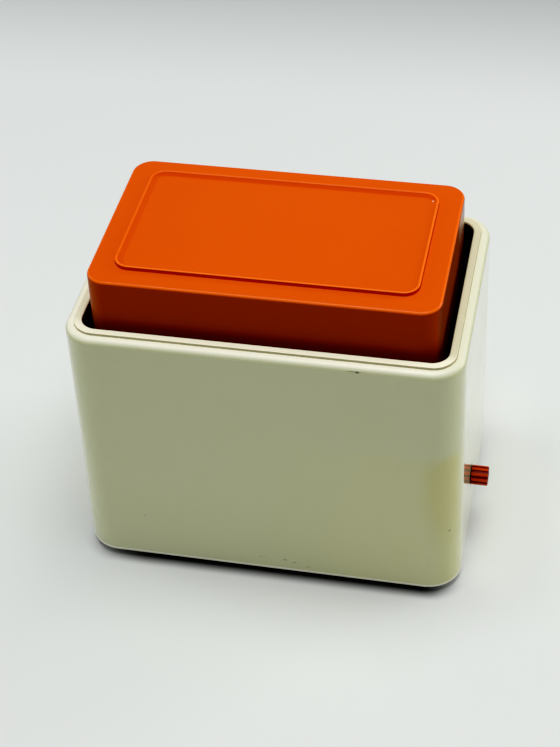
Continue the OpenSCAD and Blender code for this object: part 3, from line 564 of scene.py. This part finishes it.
hr.append(field(-1.2, 0.0, PR + 1.2))
for c, s in arc(0.28, 270, 360, 4):                          # foot of the panel's wall
    hr.append(field(-0.28 + c - 0.04, 0.28 + s, PR + 0.32 - c))
for c, s in arc(0.32, 180, 90, 5):                           # crisp outer edge of the bead
    hr.append(field(0.32 + c, PH - 0.32 + s, PR - 0.32 - c))
for c, s in arc(0.36, 90, 42, 4):                            # round inner edge of the bead
    hr.append(field(0.58 + c, PH - 0.36 + s, PR - 0.58 - c))
for t in (0.08, 0.18, 0.30, 0.44, 0.60, 0.78, 1.0):          # soft run down into the dish
    hr.append(field(0.87 + 3.2 * t, PH - 0.14 - 0.66 * (1 - (1 - t) ** 2.8), PR - 0.87 - 1.9 * t))
hr.append(field(13.0, PH - 0.80, 2.0))
outer = loft(hr)
ir = [head(HWALL, HZ - HWALL - 1.2, r=3.6)]
for c, s in arc(1.2, 0, 90, 4)[1:]:
    ir.append(head(HWALL + 1.2 - c, HZ - HWALL - 1.2 + s, r=3.6 - 1.2 + c))
inner = [head(HWALL, HZ0 + 0.2, r=4.9), head(HWALL, 96.0, r=4.3)] + ir
ring_n = len(hr[0])
skin = list(reversed(inner)) + [head(HWALL - 0.2, HZ0, r=5.0)] + hr
press = new_object("press_head_moulding", *loft(skin, cap_start=True, cap_end=True), weighted=False)
hb = new_object("hb", *join(*[tube(sx * 30.0, sy * 22.0, 86.5, 116.0, 4.0, 0, 48, 0.3) for sx, sy in ((1, 1), (-1, 1), (-1, -1), (1, -1))]), weighted=False)
boolean(press, hb, "UNION")
hc = new_object("hc", *join(*[tube(sx * 30.0, sy * 22.0, 85.5, 104.5, 1.25, 0, 32) for sx, sy in ((1, 1), (-1, 1), (-1, -1), (1, -1))]), weighted=False)
boolean(press, hc, "DIFFERENCE")
finish_shading(press, 34.0)
dress(press, "orange_plastic")
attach(press, "press")
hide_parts("press_head")

# ---------------------------------------------------------------- knob
KY, KZ, KN = -8.5, 24.7, 180
RIBS = 10


def knob_ring(x, r, fluted=0.0):
    out = []
    for i in range(KN):
        a = 2 * math.pi * i / KN
        rr = r
        if fluted:
            ph = ((a - math.radians(6.0)) * RIBS / (2 * math.pi)) % 1.0
            d = abs(ph - 0.5) * 2                      # 1 at a groove's middle, 0 at a rib's middle
            t = min(max((d - 0.46) / 0.16, 0.0), 1.0)
            rr = r - fluted * t * t * (3 - 2 * t) - 0.05 * d * d
        out.append((x, KY + rr * math.cos(a), KZ + rr * math.sin(a)))
    return out


KR, KX = 3.5, 73.02
kr = [knob_ring(66.0, 2.0), knob_ring(60.4, 2.0), knob_ring(60.4, 4.8), knob_ring(60.6, 5.0), knob_ring(62.8, 5.0), knob_ring(63.0, 4.8),
      knob_ring(63.0, KR), knob_ring(66.3, KR), knob_ring(66.45, 3.05), knob_ring(67.10, 3.05), knob_ring(67.20, KR - 0.1, 0.45)]
for x in (67.45, 69.0, 72.0, KX - 0.3):
    kr.append(knob_ring(x, KR, 0.5))
kr += [knob_ring(KX - 0.15, KR - 0.06, 0.5), knob_ring(KX, KR - 0.28, 0.42), knob_ring(KX, 2.3), knob_ring(KX - 0.35, 1.9)]
knob = new_object("side_knob_moulding", *loft(kr, cap_start=True, cap_end=True), smooth_angle=38.0)
dress(knob, "knob_plastic")
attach(knob, "knob")
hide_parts("side_knob")

# ---------------------------------------------------------------- return springs


def spring(cx, cy, z0, z1, r, wr, turns, sides=10, per_turn=40):
    """Compression spring with a closed dead coil at each end."""
    rings = []
    total = turns + 2
    n = int(total * per_turn)
    pitch = 2 * wr * 1.02
    rise = (z1 - z0 - 2 * wr) - 2 * pitch
    for i in range(n + 1):
        t = total * i / n
        if t < 1:
            z = pitch * t
        elif t > total - 1:
            z = pitch + rise + pitch * (t - total + 1)
        else:
            u = (t - 1) / turns
            z = pitch + rise * u
        a = 2 * math.pi * t
        c = Vector((cx + r * math.cos(a), cy + r * math.sin(a), z0 + wr + z))
        er = Vector((math.cos(a), math.sin(a), 0))
        ring_ = []
        for k in range(sides):
            b = 2 * math.pi * k / sides
            p = c + er * (wr * math.cos(b)) + Vector((0, 0, wr * math.sin(b)))
            ring_.append(tuple(p))
        rings.append(ring_)
    return loft(rings, cap_start=True, cap_end=True)


springs = new_object("return_spring_coils", *join(*[
    spring(sx * 45.0, sy * 22.0, 41.02, 82.98, 6.0, 0.5, 5) for sx, sy in ((1, 1), (-1, 1), (-1, -1), (1, -1))]), smooth_angle=60, weighted=False)
dress(springs, "spring_steel")
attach(springs, "housing")
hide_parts("return_springs")
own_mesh(springs)

# ---------------------------------------------------------------- stage and light
size = 8.0
floor_mesh = bpy.data.meshes.new("floor")
floor_mesh.from_pydata([(-size, -size, 0), (size, -size, 0), (size, size, 0), (-size, size, 0)], [], [(0, 1, 2, 3)])
floor = bpy.data.objects.new("floor", floor_mesh)
root.objects.link(floor)
f = Nodes("floor_paper")
tone = f.mix(f.ramp(f.noise(2.5, 2.0, 0.5), 0.3, 0.7), (0.775, 0.800, 0.794), (0.792, 0.814, 0.808))
# painted shade: the far end of the paper darker
tone = f.mix(f.math("MULTIPLY", f.ramp(f.xyz()["Y"], 0.25, 0.44), 0.95), tone, (0.40, 0.42, 0.415))
# painted shadow on the paper under the front edge, where the casing nearly touches it, and painted light beside the
# right wall
edge = f.node("ShaderNodeVectorMath", _operation="ABSOLUTE", i0=f.coord).outputs[0]
edge = f.node("ShaderNodeVectorMath", _operation="SUBTRACT", i0=edge, i1=(0.0567, 0.0340, 1.0)).outputs[0]
edge = f.node("ShaderNodeVectorMath", _operation="MAXIMUM", i0=edge, i1=(0.0, 0.0, 0.0)).outputs[0]
edge = f.node("ShaderNodeVectorMath", _operation="LENGTH", i0=edge).outputs["Value"]
front = f.math("MULTIPLY", f.ramp(edge, 0.0146, 0.0096), f.ramp(f.xyz()["Y"], -0.033, -0.043))
side = f.math("MULTIPLY", f.ramp(f.xyz()["X"], 0.058, 0.068), f.ramp(f.xyz()["X"], 0.094, 0.072))
side = f.math("MULTIPLY", side, f.math("MULTIPLY", f.ramp(f.xyz()["Y"], -0.048, -0.030), f.ramp(f.xyz()["Y"], 0.090, 0.050)))
tone = f.mix(side, tone, (0.890, 0.912, 0.905))
taper = f.math("MULTIPLY", f.ramp(f.xyz()["X"], -0.070, -0.044), f.ramp(f.xyz()["X"], 0.070, 0.054))
front = f.math("MULTIPLY", front, f.math("MULTIPLY_ADD", taper, 0.85, 0.15))
tone = f.mix(f.math("MULTIPLY", front, 0.92), tone, (0.02, 0.02, 0.02))
f.set(Base_Color=tone, Roughness=0.7, Specular_IOR_Level=0.2, Normal=f.bump(f.noise(300.0, 3.0), 0.05, 0.0002))
floor.data.materials.append(f.mat)


def area(name, place, target, w, h, power, colour=(1, 1, 1)):
    d = bpy.data.lights.new(name, "AREA")
    d.shape, d.size, d.size_y, d.energy, d.color = "RECTANGLE", w, h, power, colour
    ob = bpy.data.objects.new(name, d)
    root.objects.link(ob)
    ob.location = place
    ob.rotation_euler = (Vector(target) - Vector(place)).to_track_quat("-Z", "Y").to_euler()
    return ob


area("key", (0.03, -0.05, 1.45), (0, 0.0, 0.05), 1.0, 0.9, 15.4, (1.0, 1.0, 0.99))
area("back", (0.05, 1.25, 1.15), (0, 0, 0.08), 1.5, 0.9, 0.8, (1.0, 1.0, 1.0))
area("left", (-1.25, 0.10, 0.50), (0, 0, 0.05), 0.8, 0.7, 2.9, (0.98, 1.0, 1.0))
area("right", (1.20, 0.62, 0.46), (0, 0, 0.05), 0.9, 0.7, 6.8, (1.0, 1.0, 0.98))

world = bpy.data.worlds.new("studio")
scene.world = world
world.use_nodes = True
bg = world.node_tree.nodes["Background"]
bg.inputs["Color"].default_value = (0.97, 1.0, 0.98, 1)
bg.inputs["Strength"].default_value = 0.16

scene.view_settings.view_transform = "Standard"
scene.view_settings.look = "None"
scene.view_settings.exposure = 0.0
# a slight print-like contrast: dark tones are held down, the rest is left alone
scene.view_settings.use_curve_mapping = True
curves = scene.view_settings.curve_mapping
curves.use_clip = False
curve = curves.curves[3]
while len(curve.points) > 2:
    curve.points.remove(curve.points[1])
curve.points[0].location, curve.points[-1].location = (0.0, 0.0), (1.0, 1.0)
for x, y in ((0.010, 0.0008), (0.030, 0.012), (0.070, 0.044), (0.140, 0.112), (0.280, 0.258), (0.450, 0.450)):
    curve.points.new(x, y)
for point in curve.points:
    point.handle_type = "VECTOR"
curves.update()
scene.view_settings.exposure = 0.0
scene.view_settings.gamma = 1.0
